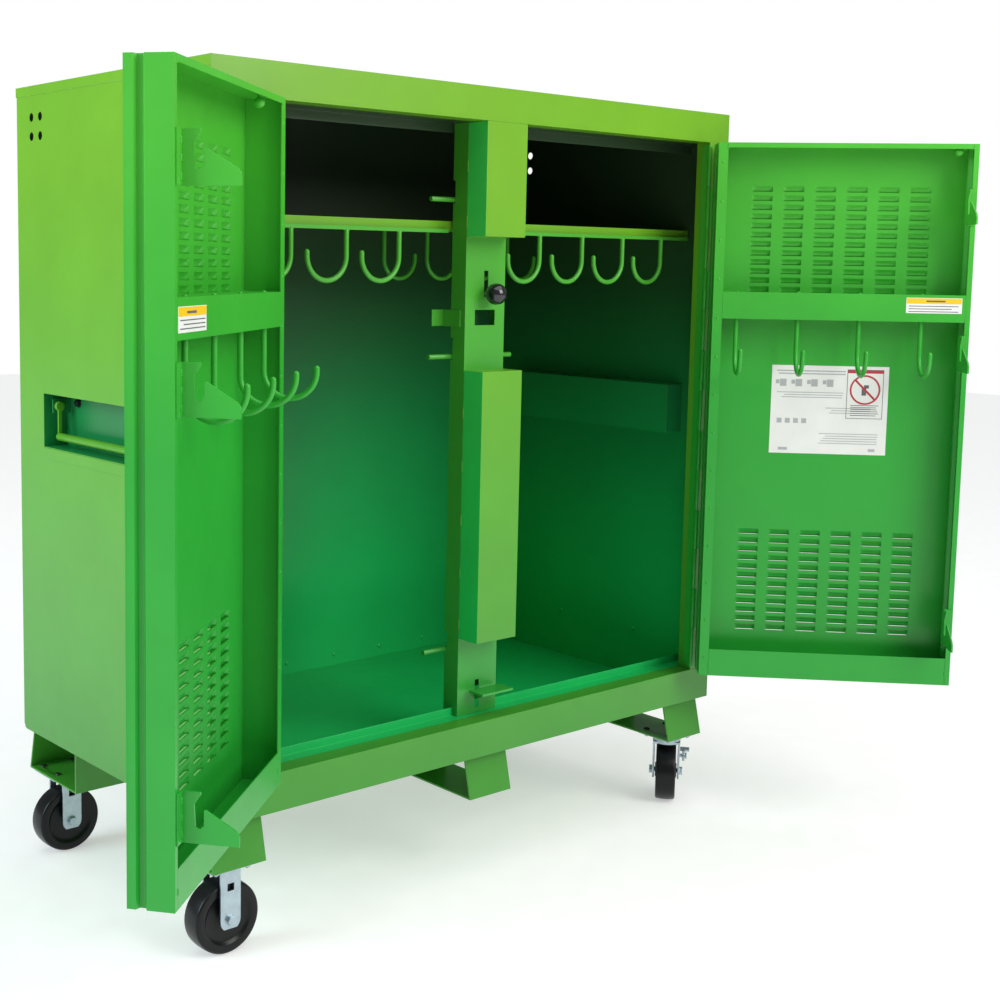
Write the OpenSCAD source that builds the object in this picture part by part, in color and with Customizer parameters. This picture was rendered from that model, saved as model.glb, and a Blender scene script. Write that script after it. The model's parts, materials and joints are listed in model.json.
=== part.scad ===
// Mobile two-door steel storage cabinet, doors open.
// Millimetres. X runs along the width with 0 at the middle, Y runs front to back
// with 0 at mid depth and the doors at -Y, and Z is up from the floor.

/* [Cabinet] */
// overall width of the steel body
width = 1524; // [1400:1:1700]
// overall depth of the steel body
depth = 812; // [760:1:900]
// top of the roof above the floor
top_z = 1776; // [1740:1:1900]
// sheet thickness of the body panels
sheet = 2; // [1.5:0.1:2.5]
// width of the front stile beside each door
stile_w = 72; // [66:1:80]
// depth of the jamb wall behind the stile
jamb_d = 40; // [32:1:60]
// height of the front header
header_h = 72; // [60:1:90]
// height of the front sill
sill_h = 82; // [70:1:95]

/* [Doors] */
// thickness of the folded door pans
door_t = 80; // [70:1:84]
// sheet thickness of the doors
door_sheet = 2.5; // [2:0.1:3]
// how far the left door stands open in degrees
left_open = 141; // [100:1:175]
// how far the right door stands open in degrees
right_open = 134.5; // [100:0.5:174]
// louvre slots in each column
louvre_rows = 12; // [6:1:14]
// hook count on each door
door_hook_count = 4; // [1:1:4]

/* [Centre post] */
// half width of the centre post
post_half = 60; // [50:1:70]
// diameter of the ball knob
knob_d = 48; // [36:1:48]

/* [Inside] */
// height of the top of the shelf
shelf_z = 1491; // [1460:1:1500]
// diameter of the hook rods
hook_d = 11; // [8:1:12]
// radius of the hook bends
hook_r = 51; // [30:1:52]

/* [Casters] */
// wheel diameter
wheel_d = 152; // [140:1:154]
// wheel width
wheel_w = 51; // [44:1:52]
// direction in which the front swivel wheel trails, from +X
front_trail = 39.4; // [0:0.1:90]
// direction in which the rear swivel wheel trails, from +X
rear_trail = -24; // [-60:1:20]

/* [Hidden] */

under_z = 291;
roof_over = 1.5;
hx = width / 2;
hy = depth / 2;
front = -hy;
skin_out = hx - roof_over;
skin_in = skin_out - sheet;
back_out = hy - roof_over;
back_in = back_out - sheet;
header_z = top_z - header_h;
sill_z = under_z + sill_h;
jamb_x = hx - stile_w;
floor_top = under_z + 3;
lip_h = 21;

// door pans, in door axes: u from the hinge axis, n inward, z up
hinge_x = jamb_x - 4;
hinge_y = front - 4;
door_u0 = 12;
door_u1 = hinge_x - post_half - 6.5;
door_z0 = sill_z + 10;
door_z1 = header_z - 6;
door_h = door_z1 - door_z0;
rim_hinge = 23;
rim_free = 12;
rim_top = 12;
rim_bottom = 67;
groove_d = 8;
seam = 0.4;
knuckle_r = 5;
pin_r = 2.5;
run = 0.05;
knuckles = 13;

// louvres and channel of a door
louvre_w = 50;
louvre_h = 6;
louvre_u0 = 105;
louvre_step = 75.6;
louvre_cols = 6;
louvre_pitch = 22.3;
upper_louvre_z = 1593;
lower_louvre_z = 740;
channel_z0 = 1275;
channel_z1 = 1340;
door_hook_n = 58;
door_hook_u = 72;
door_hook_step = 146.3;

// latch
post_y0 = -345;
post_y1 = -298;
latch_travel = 33;
latch_pin_r = 5.5;
latch_pin_half = 125;
latch_z = [1538, 1191, 522];
latch_lift = 32;
knob_x = 2;
knob_z = 1332;
stem_r = 5;
stem_y0 = -360;
bar_half = 6.5;
hasp_z = [1258, 1295];
upper_cover_z = 1457;
lower_cover_z = [554, 1163];
pedal_y = -318;
pedal_z = 434;

// shelf and hooks
shelf_front = -290;
shelf_lip = 18;
hook_low = 1353;
rail_y = -302;
rail_h = 8;
rail_w = 14;
rear_rail_y = 144;
shelf_hook_x = 214;
shelf_hook_step = 143.4;

// handle pockets
pocket_y = [-290, 288];
pocket_z = [972, 1096];
pocket_in = 700;
grip_r = 9;
bail_x = 735;
bail_z = 1066;
grip_z = 997;
pivot_r = 5;
pocket_mid = (pocket_y[0] + pocket_y[1]) / 2;

// feet and casters
foot_w = 128;
foot_x = 686;
foot_bottom = 192;
foot_t = 5;
foot_in = 170;
plate_t = 6;
wheel_r = wheel_d / 2;
caster_y = 338;
rigid_x = -690;
swivel_x = 690;
trail = 38;
axle_r = 6;
leg_t = 5;
leg_in = wheel_w / 2 + 4.5;
leg_w = 48;
bolt_dx = 37;
bolt_dy = 37;
bolt_r = 4.5;
brake_z = 118;
kingpin_r = 8;
fork_top = 166;
race_z = 178;

green = [0.27, 0.62, 0.13];
zinc = [0.66, 0.71, 0.75];
black = [0.03, 0.03, 0.035];

// a box from its two corners
module slab(x, y, z) {
    translate([x[0], y[0], z[0]])
        cube([x[1] - x[0], y[1] - y[0], z[1] - z[0]]);
}

// a rod along an axis letter, starting at p
module rod(p, length, r, axis) {
    turn = axis == "x" ? [0, 90, 0] : axis == "y" ? [-90, 0, 0] : [0, 0, 0];
    translate(p) rotate(turn) cylinder(h = length, r = r, $fn = 48);
}

// mirrors its children to the right when side is 1
module sided(side) {
    if (side > 0) mirror([1, 0, 0]) children();
    else children();
}

// ---- cabinet body, drawn for the left side and mirrored for the right

module side_panel() {
    chamfer = 18;
    vent_y = [290, 332];
    vent_z = [1665, 1707];
    difference() {
        slab([-skin_out, -skin_in], [front + sheet, back_out], [under_z, top_z - sheet]);
        slab([-hx, 0], [pocket_y[0] + 2, pocket_y[1] - 2], [pocket_z[0] + 2, pocket_z[1] - 2]);
        for (y = vent_y, z = vent_z) rod([-hx, y, z], 10, 9.5, "x");
        for (y = [front, hy]) translate([-hx, y, under_z])
            rotate([45, 0, 0]) cube([2 * (hx - skin_in), chamfer, chamfer], center = true);
    }
}

module back_sheet() {
    slab([-skin_in, skin_in], [back_in, back_out], [under_z, top_z - sheet]);
}

module floor_sheet() {
    slab([-skin_in, skin_in], [front + sheet, back_in], [under_z, floor_top]);
}

module roof_sheets() {
    slab([-hx, hx], [front + sheet, hy], [top_z - sheet, top_z]);
    for (s = [-1, 1]) {
        lip_x = s < 0 ? [-hx, -skin_out] : [skin_out, hx];
        slab(lip_x, [front + sheet, hy], [top_z - lip_h, top_z - sheet]);
    }
    slab([-skin_out, skin_out], [back_out, hy], [top_z - lip_h, top_z - sheet]);
}

module header_sheets() {
    lip_y = -290;
    lip_drop = 20;
    slab([-hx, hx], [front, front + sheet], [header_z, top_z]);
    slab([-skin_in, skin_in], [front + sheet, lip_y], [header_z, header_z + sheet]);
    slab([-skin_in, skin_in], [lip_y - sheet, lip_y], [header_z - lip_drop, header_z]);
}

module sill_sheets() {
    lip_y = -327;
    lip_rise = 18;
    slab([-hx, hx], [front, front + sheet], [under_z, sill_z]);
    slab([-skin_in, skin_in], [front + sheet, lip_y], [sill_z - sheet, sill_z]);
    difference() {
        slab([-skin_in, skin_in], [lip_y - sheet, lip_y], [sill_z, sill_z + lip_rise]);
        slab([-post_half, post_half], [lip_y - 5, lip_y + 5], [sill_z, sill_z + lip_rise + 1]);
    }
}

module stile() {
    slab([-hx, -jamb_x], [front, front + sheet], [sill_z, header_z]);
    slab([-jamb_x - sheet, -jamb_x], [front + sheet, front + jamb_d], [sill_z, header_z]);
}

// vertical channel, open at the back, with the knob slot, lock hole and pin notches
module post_channel() {
    slot_w = 12;
    lock_z = [1262, 1296];
    pedal_slot_z = [385, 450];
    cut_y = [post_y0 - 1, post_y0 + 5];
    difference() {
        slab([-post_half, post_half], [post_y0, post_y1], [sill_z, header_z]);
        slab([-post_half + sheet, post_half - sheet], [post_y0 + sheet, post_y1 + 1],
            [sill_z - 1, header_z + 1]);
        slab([knob_x - slot_w / 2, knob_x + slot_w / 2], cut_y,
            [knob_z - 7, knob_z + latch_travel + 18]);
        slab([-30, 30], cut_y, lock_z);
        slab([-slot_w / 2, slot_w / 2], cut_y, pedal_slot_z);
        for (z = latch_z) slab([-post_half - 1, post_half + 1], [post_y1 - 7, post_y1 + 1],
            [z - 8, z + latch_travel + 9]);
    }
    slab([-post_half - sheet, -post_half], [-330, -270], hasp_z);
    slab([-93, -post_half - sheet], [-272, -270], hasp_z);
}

// box cover on the front of the centre post
module post_cover(z0, z1) {
    difference() {
        slab([-post_half, post_half], [front, post_y0], [z0, z1]);
        slab([-post_half + sheet, post_half - sheet], [front + sheet, post_y0 + 1],
            [z0 + sheet, z1 - sheet]);
    }
}

module shelf() {
    slab([-skin_in, -0.5], [shelf_front, back_in], [shelf_z - sheet, shelf_z]);
    slab([-skin_in, -0.5], [shelf_front, shelf_front + sheet], [shelf_z - shelf_lip, shelf_z - sheet]);
}

// hook in the XZ plane, hanging from top at x; dir is the side to which it curls
module shelf_hook(x, y, top, dir) {
    centre_z = hook_low + hook_d / 2 + hook_r;
    rod([x, y, centre_z], top - centre_z, hook_d / 2, "z");
    translate([x + dir * hook_r, y, centre_z]) rotate([-90, 0, 0])
        rotate_extrude(angle = 180, $fn = 48)
            translate([hook_r, 0]) circle(d = hook_d, $fn = 32);
    rod([x + 2 * dir * hook_r, y, centre_z], 8, hook_d / 2, "z");
    translate([x + 2 * dir * hook_r, y, centre_z + 8]) sphere(d = hook_d, $fn = 32);
}

// front and rear rails with their hooks; side is -1 or 1
module shelf_hooks(side) {
    front_y = rail_y + 4;
    rear_y = rear_rail_y + rail_w / 2;
    rail_x = side < 0 ? [-745, -75] : [75, 745];
    front_top = shelf_z - shelf_lip - rail_h;
    rear_top = shelf_z - sheet - rail_h;
    slab(rail_x, [rail_y, rail_y + rail_w], [front_top, front_top + rail_h]);
    slab(rail_x, [rear_rail_y, rear_rail_y + rail_w], [rear_top, rear_top + rail_h]);
    for (i = [0 : 3]) {
        x = shelf_hook_x + i * shelf_hook_step;
        shelf_hook(side < 0 ? -x : x, front_y, front_top, -1);
        shelf_hook(side < 0 ? -x - 2 * hook_r : x - 2 * hook_r, rear_y, rear_top, 1);
    }
}

// recessed pocket with its lower band and the two pivot ears of the handle
module handle_pocket() {
    ear_y = 271;
    ear_h = 16;
    band_h = 24;
    difference() {
        slab([-skin_in, -pocket_in], pocket_y, pocket_z);
        slab([-hx, -pocket_in - sheet], [pocket_y[0] + 2, pocket_y[1] - 2],
            [pocket_z[0] + 2, pocket_z[1] - 2]);
    }
    slab([-hx, -skin_out], pocket_y, [pocket_z[0] - band_h, pocket_z[0]]);
    for (s = [-1, 1]) difference() {
        slab([-747, -pocket_in - sheet], [pocket_mid + s * ear_y - 2, pocket_mid + s * ear_y + 2],
            [bail_z - ear_h, bail_z + ear_h]);
        rod([-bail_x, pocket_mid + s * ear_y - 5, bail_z], 10, pivot_r + run, "y");
    }
}

// swinging handle, hanging in its pocket
module handle() {
    arm_y = 260;
    pivot_l = 16;
    rod([-bail_x, pocket_mid - arm_y - 5, grip_z], 2 * arm_y + 10, grip_r, "y");
    for (s = [-1, 1]) {
        slab([-bail_x - 3, -bail_x + 3], [pocket_mid + s * arm_y - 5, pocket_mid + s * arm_y + 5],
            [grip_z, bail_z]);
        rod([-bail_x, pocket_mid + s * arm_y - 5, bail_z], 10, 9, "y");
        pivot_y = s < 0 ? pocket_mid - arm_y - pivot_l : pocket_mid + arm_y;
        rod([-bail_x, pivot_y, bail_z], pivot_l, pivot_r, "y");
    }
}

// foot section in YZ, open at both ends of its run along X
module foot(x, w, s) {
    top_y = hy - 29;
    toe_y = hy - 6;
    translate([x - w / 2, 0, 0]) rotate([90, 0, 90]) linear_extrude(w) polygon([
        [s * top_y, under_z], [s * toe_y, foot_bottom], [s * foot_in, foot_bottom],
        [s * foot_in, under_z], [s * (foot_in + foot_t), under_z],
        [s * (foot_in + foot_t), foot_bottom + foot_t],
        [s * (toe_y - foot_t - 1), foot_bottom + foot_t], [s * (top_y - foot_t), under_z]]);
}

module corner_foot(sx, sy) {
    difference() {
        foot(sx * foot_x, foot_w, sy);
        translate([sx * swivel_x, sy * caster_y, foot_bottom]) plate_holes(foot_t + 1);
    }
}

module middle_feet() {
    foot(0, foot_w, -1);
    foot(0, foot_w, 1);
}

// four bolt holes of a caster plate, starting at the local origin
module plate_holes(h) {
    for (dx = [-1, 1], dy = [-1, 1])
        translate([dx * bolt_dx, dy * bolt_dy, -1]) cylinder(h = h + 1, r = bolt_r, $fn = 32);
}

// mounting plate under a foot
module caster_plate() {
    difference() {
        slab([-54, 54], [-50, 50], [foot_bottom - plate_t, foot_bottom]);
        translate([0, 0, foot_bottom - plate_t]) plate_holes(plate_t + 1);
    }
}

module plate_bolts() {
    head_r = 7.5;
    head_h = 5;
    nut_h = 6;
    for (x = [rigid_x, swivel_x], y = [-caster_y, caster_y], dx = [-1, 1], dy = [-1, 1])
        translate([x + dx * bolt_dx, y + dy * bolt_dy, 0]) {
            translate([0, 0, foot_bottom - plate_t])
                cylinder(h = plate_t + foot_t, r = bolt_r, $fn = 32);
            translate([0, 0, foot_bottom + foot_t]) cylinder(h = nut_h, r = head_r, $fn = 6);
            translate([0, 0, foot_bottom - plate_t - head_h])
                cylinder(h = head_h, r = head_r, $fn = 6);
        }
}

// fork leg in caster axes: s along the rolling direction, a along the axle
module fork_leg(s, a, top) {
    difference() {
        union() {
            slab([s - leg_w / 2, s + leg_w / 2], [a, a + leg_t], [wheel_r, top]);
            translate([s, a, wheel_r]) rotate([-90, 0, 0])
                intersection() {
                    cylinder(h = leg_t, r = leg_w / 2, $fn = 48);
                    translate([-leg_w / 2, -leg_w / 2, 0]) cube([leg_w, leg_w / 2 + 18, leg_t]);
                }
        }
        translate([s, a - 1, wheel_r]) rotate([-90, 0, 0]) cylinder(h = leg_t + 2, r = axle_r);
        slab([s - 8, s + 8], [a - 1, a + leg_t + 1], [137, 153]);
    }
}

// axle bolt with its head and nut outside the legs
module axle(s) {
    reach = leg_in + leg_t;
    translate([s, -reach, wheel_r]) rotate([-90, 0, 0]) cylinder(h = 2 * reach, r = axle_r);
    for (a = [-reach - 8, reach]) translate([s, a, wheel_r]) rotate([-90, 0, 0])
        cylinder(h = 8, r = 11, $fn = 6);
}

module rigid_fork() {
    caster_plate();
    for (a = [-leg_in - leg_t, leg_in]) fork_leg(0, a, foot_bottom - plate_t);
    axle(0);
}

module rigid_fork_pair() {
    for (y = [-caster_y, caster_y]) translate([rigid_x, y, 0]) rigid_fork();
}

// fixed plate and upper race of a swivel caster
module swivel_plate() {
    caster_plate();
    nut_z = [160, 164];
    cylinder_at(30, race_z, foot_bottom - plate_t);
    cylinder_at(kingpin_r, nut_z[1], race_z);
    cylinder_at(12, nut_z[0], nut_z[1]);
}

module cylinder_at(r, z0, z1) {
    translate([0, 0, z0]) cylinder(h = z1 - z0, r = r, $fn = 48);
}

module swivel_plate_pair() {
    for (y = [-caster_y, caster_y]) translate([swivel_x, y, 0]) swivel_plate();
}

// turning fork with its axle, in caster axes about the swivel axis
module swivel_fork() {
    crown_z = 171.5;
    difference() {
        union() {
            slab([-27, trail + 24], [-leg_in - leg_t, leg_in + leg_t], [fork_top, crown_z]);
            cylinder_at(34, fork_top, race_z - 0.3);
        }
        cylinder_at(kingpin_r + run, fork_top - 1, race_z + 1);
    }
    for (a = [-leg_in - leg_t, leg_in]) fork_leg(trail, a, fork_top);
    axle(trail);
    translate([trail, -leg_in - leg_t - 14, brake_z]) rotate([-90, 0, 0]) cylinder(h = 14, r = 5);
    translate([trail, -leg_in - leg_t - 18, brake_z]) rotate([-90, 0, 0])
        cylinder(h = 4, r = 9, $fn = 6);
}

// brake lever on the outside of one leg, turning about its stud
module brake_lever() {
    a0 = -leg_in - leg_t - 13;
    difference() {
        union() {
            translate([trail, a0, brake_z]) rotate([-90, 0, 0]) cylinder(h = 6, r = 14, $fn = 48);
            slab([trail + 6, trail + 40], [a0, a0 + 6], [brake_z - 8, brake_z + 8]);
            slab([trail + 34, trail + 58], [a0 - 12, a0 + 12], [brake_z, brake_z + 5]);
        }
        translate([trail, a0 - 1, brake_z]) rotate([-90, 0, 0]) cylinder(h = 20, r = 5 + run);
    }
}

module at_front_swivel() {
    translate([swivel_x, -caster_y, 0]) rotate([0, 0, front_trail]) children();
}

module at_rear_swivel() {
    translate([swivel_x, caster_y, 0]) rotate([0, 0, rear_trail]) children();
}

// wheel with recessed faces, axis along Y, centred on the local origin
module wheel() {
    half = wheel_w / 2;
    hub_half = half + 2.5;
    rotate([90, 0, 0]) rotate_extrude($fn = 96) polygon([
        [axle_r + run, -hub_half], [19, -hub_half], [21, -half + 6], [52, -half + 6],
        [56, -half], [wheel_r - 5, -half], [wheel_r - 1, -half + 4], [wheel_r, 0],
        [wheel_r - 1, half - 4], [wheel_r - 5, half], [56, half], [52, half - 6],
        [21, half - 6], [19, hub_half], [axle_r + run, hub_half]]);
}

// ---- doors, drawn in door axes

// puts a door-axes drawing on the hinge of one side at its open angle
module place_door(side) {
    open = side < 0 ? left_open : right_open;
    sided(side) translate([-hinge_x, hinge_y, 0]) rotate([0, 0, -open]) children();
}

module door_skin() {
    difference() {
        slab([door_u0, door_u1], [0, door_sheet], [door_z0, door_z1]);
        for (top = [upper_louvre_z, lower_louvre_z], c = [0 : louvre_cols - 1],
            r = [0 : louvre_rows - 1])
            translate([louvre_u0 + c * louvre_step, -1, top - r * louvre_pitch])
                cube([louvre_w, door_sheet + 2, louvre_h]);
    }
}

// four folded flanges; the free one has the finger groove along it
module door_frame() {
    groove_n = [15, 19, 29, 33];
    wall = door_t - door_sheet;
    slab([door_u0, door_u0 + door_sheet], [door_sheet, wall], [door_z0, door_z1]);
    slab([door_u0, door_u0 + rim_hinge], [wall, door_t], [door_z0, door_z1]);
    translate([0, 0, door_z0]) linear_extrude(door_h) polygon([
        [door_u1, door_sheet], [door_u1, groove_n[0]], [door_u1 - groove_d, groove_n[1]],
        [door_u1 - groove_d, groove_n[2]], [door_u1, groove_n[3]], [door_u1, door_t],
        [door_u1 - rim_free, door_t], [door_u1 - rim_free, wall], [door_u1 - door_sheet, wall],
        [door_u1 - door_sheet, groove_n[3] + 1], [door_u1 - groove_d - door_sheet, groove_n[2] + 1],
        [door_u1 - groove_d - door_sheet, groove_n[1] - 1],
        [door_u1 - door_sheet, groove_n[0] - 1], [door_u1 - door_sheet, door_sheet]]);
    cross_u = [door_u0 + door_sheet + seam, door_u1 - groove_d - door_sheet - seam];
    rim_u = [door_u0 + rim_hinge + seam, door_u1 - rim_free - seam];
    slab(cross_u, [door_sheet, wall], [door_z1 - door_sheet, door_z1]);
    slab(rim_u, [wall, door_t], [door_z1 - rim_top, door_z1]);
    slab(cross_u, [door_sheet, wall], [door_z0, door_z0 + door_sheet]);
    slab(rim_u, [wall, door_t], [door_z0, door_z0 + rim_bottom]);
}

// folded channel across the pan, and the ball stud under the top flange
module door_channel(stud_u) {
    wall = door_t - door_sheet;
    flange_u = [door_u0 + door_sheet + seam, door_u1 - groove_d - door_sheet - seam];
    face_u = [door_u0 + rim_hinge + seam, door_u1 - rim_free - seam];
    slab(face_u, [wall, door_t], [channel_z0, channel_z1]);
    slab(flange_u, [door_sheet, wall], [channel_z1 - door_sheet, channel_z1]);
    rod([stud_u, door_hook_n, door_z1 - 14], 14 - door_sheet, 4, "z");
    translate([stud_u, door_hook_n, door_z1 - 18]) sphere(r = 10, $fn = 32);
}

// hook in the n-z plane, curling away from the skin
module door_hook(u) {
    bend_z = 1195;
    top = channel_z1 - door_sheet;
    rod([u, door_hook_n, bend_z], top - bend_z, hook_d / 2, "z");
    translate([u, door_hook_n + hook_r, bend_z]) rotate([0, 0, 90]) rotate([-90, 0, 0])
        rotate_extrude(angle = 180, $fn = 48)
            translate([hook_r, 0]) circle(d = hook_d, $fn = 32);
    rod([u, door_hook_n + 2 * hook_r, bend_z], 6, hook_d / 2, "z");
    translate([u, door_hook_n + 2 * hook_r, bend_z + 6]) sphere(d = hook_d, $fn = 32);
}

module door_hooks() {
    for (i = [0 : door_hook_count - 1]) door_hook(door_hook_u + i * door_hook_step);
}

// hooked plates that drop over the latch pins when the door is shut
module latch_brackets() {
    plate_u = door_u1 - 26;
    plate_h = 84;
    tab_t = 3;
    for (z = latch_z) {
        z0 = z - latch_lift;
        translate([plate_u, 0, z0]) rotate([90, 0, 90]) linear_extrude(4) polygon([
            [door_t, 0], [177, 0], [177, 18], [171, 26], [122, 56], [119, 55], [119, 30],
            [112, 24], [105, 27], [103, 64], [114, 79], [114, plate_h],
            [door_t, plate_h]]);
        slab([plate_u, door_u1 - 4], [door_t, door_t + tab_t], [z0, z0 + plate_h]);
    }
}

// heights of knuckle i of the continuous hinge
function knuckle_z(i) = door_z0 + i * door_h / knuckles;

// odd knuckles and the leaf against the door's hinge flange
module door_hinge() {
    gap = 0.5;
    difference() {
        union() {
            for (i = [1 : 2 : knuckles - 1]) {
                z0 = knuckle_z(i) + gap;
                h = door_h / knuckles - 2 * gap;
                rod([0, 0, z0], h, knuckle_r, "z");
                slab([0, door_u0 - 2], [-1, 1], [z0, z0 + h]);
            }
            slab([door_u0 - 2, door_u0], [-1, 34], [door_z0, door_z1]);
        }
        rod([0, 0, door_z0 - 1], door_h + 2, pin_r + run, "z");
    }
}

// even knuckles, the leaf against the jamb and the hinge pin, for both doors
module jamb_hinges() {
    gap = 0.5;
    for (side = [-1, 1]) sided(side) translate([-hinge_x, hinge_y, 0]) {
        for (i = [0 : 2 : knuckles - 1])
            rod([0, 0, knuckle_z(i) + gap], door_h / knuckles - 2 * gap, knuckle_r, "z");
        rod([0, 0, door_z0], door_h, pin_r, "z");
        difference() {
            slab([-4, -2], [0, 26], [door_z0, door_z1]);
            for (i = [1 : 2 : knuckles - 1]) rod([0, 0, knuckle_z(i)], door_h / knuckles, 6, "z");
        }
    }
}

// placard on the channel face
module door_label(u, z) {
    slab(u, [door_t, door_t + 0.5], z);
}

module sheet_plate() {
    slab([172, 455], [door_sheet, door_sheet + 0.5], [940, 1160]);
}

// ---- latch

module bar_with_holes() {
    difference() {
        slab([-18, 18], [post_y1 - bar_half, post_y1 + bar_half], [470, 1640]);
        for (z = latch_z) rod([-20, post_y1, z], 40, latch_pin_r, "x");
    }
}

module cross_pins() {
    for (z = latch_z) rod([-latch_pin_half, post_y1, z], 2 * latch_pin_half, latch_pin_r, "x");
}

module stem() {
    rod([knob_x, stem_y0, knob_z], post_y1 - bar_half - stem_y0, stem_r, "y");
}

// ball with a blind hole for the stem, turned about the stem
module knob_ball() {
    centre_y = front + knob_d / 2 + 4;
    translate([knob_x, centre_y, knob_z]) rotate([-90, 0, 0]) rotate_extrude($fn = 96)
        difference() {
            circle(d = knob_d, $fn = 96);
            translate([-knob_d, -knob_d]) square([knob_d, 2 * knob_d]);
            translate([-1, stem_y0 - centre_y]) square([stem_r + 1, knob_d]);
        }
}

// tread, web and hub of the pedal, turning about X
module pedal() {
    slab([-35, 60], [-402, -356], [428, 433]);
    translate([-3, 0, 0]) rotate([90, 0, 90]) linear_extrude(6) polygon([
        [-398, 428], [-344, 404], [-314, 410], [-314, 428]]);
    rod([-30, pedal_y, pedal_z], 60, 8, "x");
}

// ---- one coloured module per sub-part

module left_side_panel() { color(green) side_panel(); }
module right_side_panel() { color(green) sided(1) side_panel(); }
module back_panel() { color(green) back_sheet(); }
module floor_pan() { color(green) floor_sheet(); }
module roof_pan() { color(green) roof_sheets(); }
module front_header() { color(green) header_sheets(); }
module front_sill() { color(green) sill_sheets(); }
module left_stile() { color(green) stile(); }
module right_stile() { color(green) sided(1) stile(); }
module centre_post() { color(green) post_channel(); }
module upper_post_cover() { color(green) post_cover(upper_cover_z, header_z); }
module lower_post_cover() { color(green) post_cover(lower_cover_z[0], lower_cover_z[1]); }
module left_shelf() { color(green) shelf(); }
module right_shelf() { color(green) sided(1) shelf(); }
module left_shelf_hooks() { color(green) shelf_hooks(-1); }
module right_shelf_hooks() { color(green) shelf_hooks(1); }
module left_handle_pocket() { color(green) handle_pocket(); }
module right_handle_pocket() { color(green) sided(1) handle_pocket(); }
module front_left_foot() { color(green) corner_foot(-1, -1); }
module front_right_foot() { color(green) corner_foot(1, -1); }
module rear_left_foot() { color(green) corner_foot(-1, 1); }
module rear_right_foot() { color(green) corner_foot(1, 1); }
module mid_feet() { color(green) middle_feet(); }
module body_hinges() { color(green) jamb_hinges(); }
module rigid_forks() { color(zinc) rigid_fork_pair(); }
module swivel_plates() { color(zinc) swivel_plate_pair(); }
module caster_bolts() { color(zinc) plate_bolts(); }
module left_door_skin() { color(green) place_door(-1) door_skin(); }
module left_door_frame() { color(green) place_door(-1) door_frame(); }
module left_door_channel() { color(green) place_door(-1) door_channel(108); }
module left_door_hooks() { color(green) place_door(-1) door_hooks(); }
module left_latch_brackets() { color(green) place_door(-1) latch_brackets(); }
module left_door_hinge() { color(green) place_door(-1) door_hinge(); }
module left_door_label() { color("white") place_door(-1) door_label([472, 604], [1286, 1326]); }
module right_door_skin() { color(green) place_door(1) door_skin(); }
module right_door_frame() { color(green) place_door(1) door_frame(); }
module right_door_channel() { color(green) place_door(1) door_channel(578); }
module right_door_hooks() { color(green) place_door(1) door_hooks(); }
module right_latch_brackets() { color(green) place_door(1) latch_brackets(); }
module right_door_hinge() { color(green) place_door(1) door_hinge(); }
module right_door_label() { color("white") place_door(1) door_label([469, 599], [1296, 1333]); }
module instruction_sheet() { color("white") place_door(1) sheet_plate(); }
module latch_bar() { color(green) bar_with_holes(); }
module latch_pins() { color(green) cross_pins(); }
module knob_stem() { color(zinc) stem(); }
module ball_knob() { color(black) knob_ball(); }
module foot_pedal() { color(green) pedal(); }
module left_handle() { color(green) handle(); }
module right_handle() { color(green) sided(1) handle(); }
module front_left_wheel() { color(black) translate([rigid_x, -caster_y, wheel_r]) wheel(); }
module rear_left_wheel() { color(black) translate([rigid_x, caster_y, wheel_r]) wheel(); }
module front_right_wheel() { color(black) at_front_swivel() translate([trail, 0, wheel_r]) wheel(); }
module rear_right_wheel() { color(black) at_rear_swivel() translate([trail, 0, wheel_r]) wheel(); }
module front_swivel_fork() { color(zinc) at_front_swivel() swivel_fork(); }
module rear_swivel_fork() { color(zinc) at_rear_swivel() swivel_fork(); }
module front_brake_lever() { color(zinc) at_front_swivel() brake_lever(); }
module rear_brake_lever() { color(zinc) at_rear_swivel() brake_lever(); }

left_side_panel();
right_side_panel();
back_panel();
floor_pan();
roof_pan();
front_header();
front_sill();
left_stile();
right_stile();
centre_post();
upper_post_cover();
lower_post_cover();
left_shelf();
right_shelf();
left_shelf_hooks();
right_shelf_hooks();
left_handle_pocket();
right_handle_pocket();
front_left_foot();
front_right_foot();
rear_left_foot();
rear_right_foot();
mid_feet();
body_hinges();
rigid_forks();
swivel_plates();
caster_bolts();
left_door_skin();
left_door_frame();
left_door_channel();
left_door_hooks();
left_latch_brackets();
left_door_hinge();
left_door_label();
right_door_skin();
right_door_frame();
right_door_channel();
right_door_hooks();
right_latch_brackets();
right_door_hinge();
right_door_label();
instruction_sheet();
latch_bar();
latch_pins();
knob_stem();
ball_knob();
foot_pedal();
left_handle();
right_handle();
front_left_wheel();
rear_left_wheel();
front_right_wheel();
rear_right_wheel();
front_swivel_fork();
rear_swivel_fork();
front_brake_lever();
rear_brake_lever();
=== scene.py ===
import json
import math

import bpy
from mathutils import Matrix, Vector


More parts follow.
